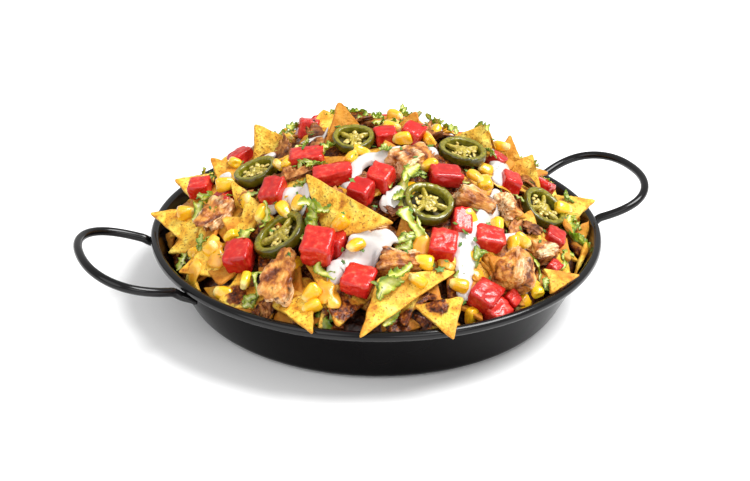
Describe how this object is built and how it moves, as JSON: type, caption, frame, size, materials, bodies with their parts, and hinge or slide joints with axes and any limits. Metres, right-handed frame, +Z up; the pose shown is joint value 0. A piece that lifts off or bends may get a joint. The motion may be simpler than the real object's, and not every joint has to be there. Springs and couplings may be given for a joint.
{
  "type": "nachos in a serving pan",
  "caption": "Heap of corn chips topped with chicken, tomato, pepper slices, corn, lettuce and sour cream, served in a round two-handled steel pan.",
  "frame": {"origin": "middle of the pan's flat foot, on the surface it stands on", "axes": "+Z up through the pan; the two handles lie along X, +X towards the handle beside the high right-hand chips; the shown front faces -Y"},
  "size_m": [0.347, 0.2666, 0.1126],
  "materials": {
    "black_enamel": "gloss enamel over pressed steel",
    "nacho_mix": "rough loose food, moist in places",
    "fried_corn": "dry, blistered and speckled",
    "tomato_flesh": "wet and glossy",
    "grilled_chicken": "fibrous, browned, slightly moist",
    "green_pepper": "pickled, glossy skin with pale flesh"
  },
  "bodies": {
    "root": {"chicken_01": "grilled_chicken", "chicken_02": "grilled_chicken", "chicken_03": "grilled_chicken", "chicken_04": "grilled_chicken", "chicken_05": "grilled_chicken", "chicken_06": "grilled_chicken", "chicken_07": "grilled_chicken", "chicken_08": "grilled_chicken", "chicken_09": "grilled_chicken", "chip_01": "fried_corn", "chip_02": "fried_corn", "chip_03": "fried_corn", "chip_04": "fried_corn", "chip_05": "fried_corn", "chip_06": "fried_corn", "chip_07": "fried_corn", "chip_08": "fried_corn", "chip_09": "fried_corn", "chip_10": "fried_corn", "chip_11": "fried_corn", "chip_12": "fried_corn", "chip_13": "fried_corn", "chip_14": "fried_corn", "chip_15": "fried_corn", "chip_16": "fried_corn", "chip_17": "fried_corn", "chip_18": "fried_corn", "handle_left": "black_enamel", "handle_right": "black_enamel", "heap": "nacho_mix", "jalapeno_01": "green_pepper", "jalapeno_02": "green_pepper", "jalapeno_03": "green_pepper", "jalapeno_04": "green_pepper", "jalapeno_05": "green_pepper", "jalapeno_06": "green_pepper", "pan": "black_enamel", "tomato_01": "tomato_flesh", "tomato_02": "tomato_flesh", "tomato_03": "tomato_flesh", "tomato_04": "tomato_flesh", "tomato_05": "tomato_flesh", "tomato_06": "tomato_flesh", "tomato_07": "tomato_flesh", "tomato_08": "tomato_flesh", "tomato_09": "tomato_flesh", "tomato_10": "tomato_flesh", "tomato_11": "tomato_flesh", "tomato_12": "tomato_flesh", "tomato_13": "tomato_flesh", "tomato_14": "tomato_flesh", "tomato_15": "tomato_flesh", "tomato_16": "tomato_flesh", "tomato_17": "tomato_flesh", "tomato_18": "tomato_flesh", "tomato_19": "tomato_flesh", "tomato_20": "tomato_flesh", "tomato_21": "tomato_flesh", "tomato_22": "tomato_flesh"}
  },
  "joints": []
}
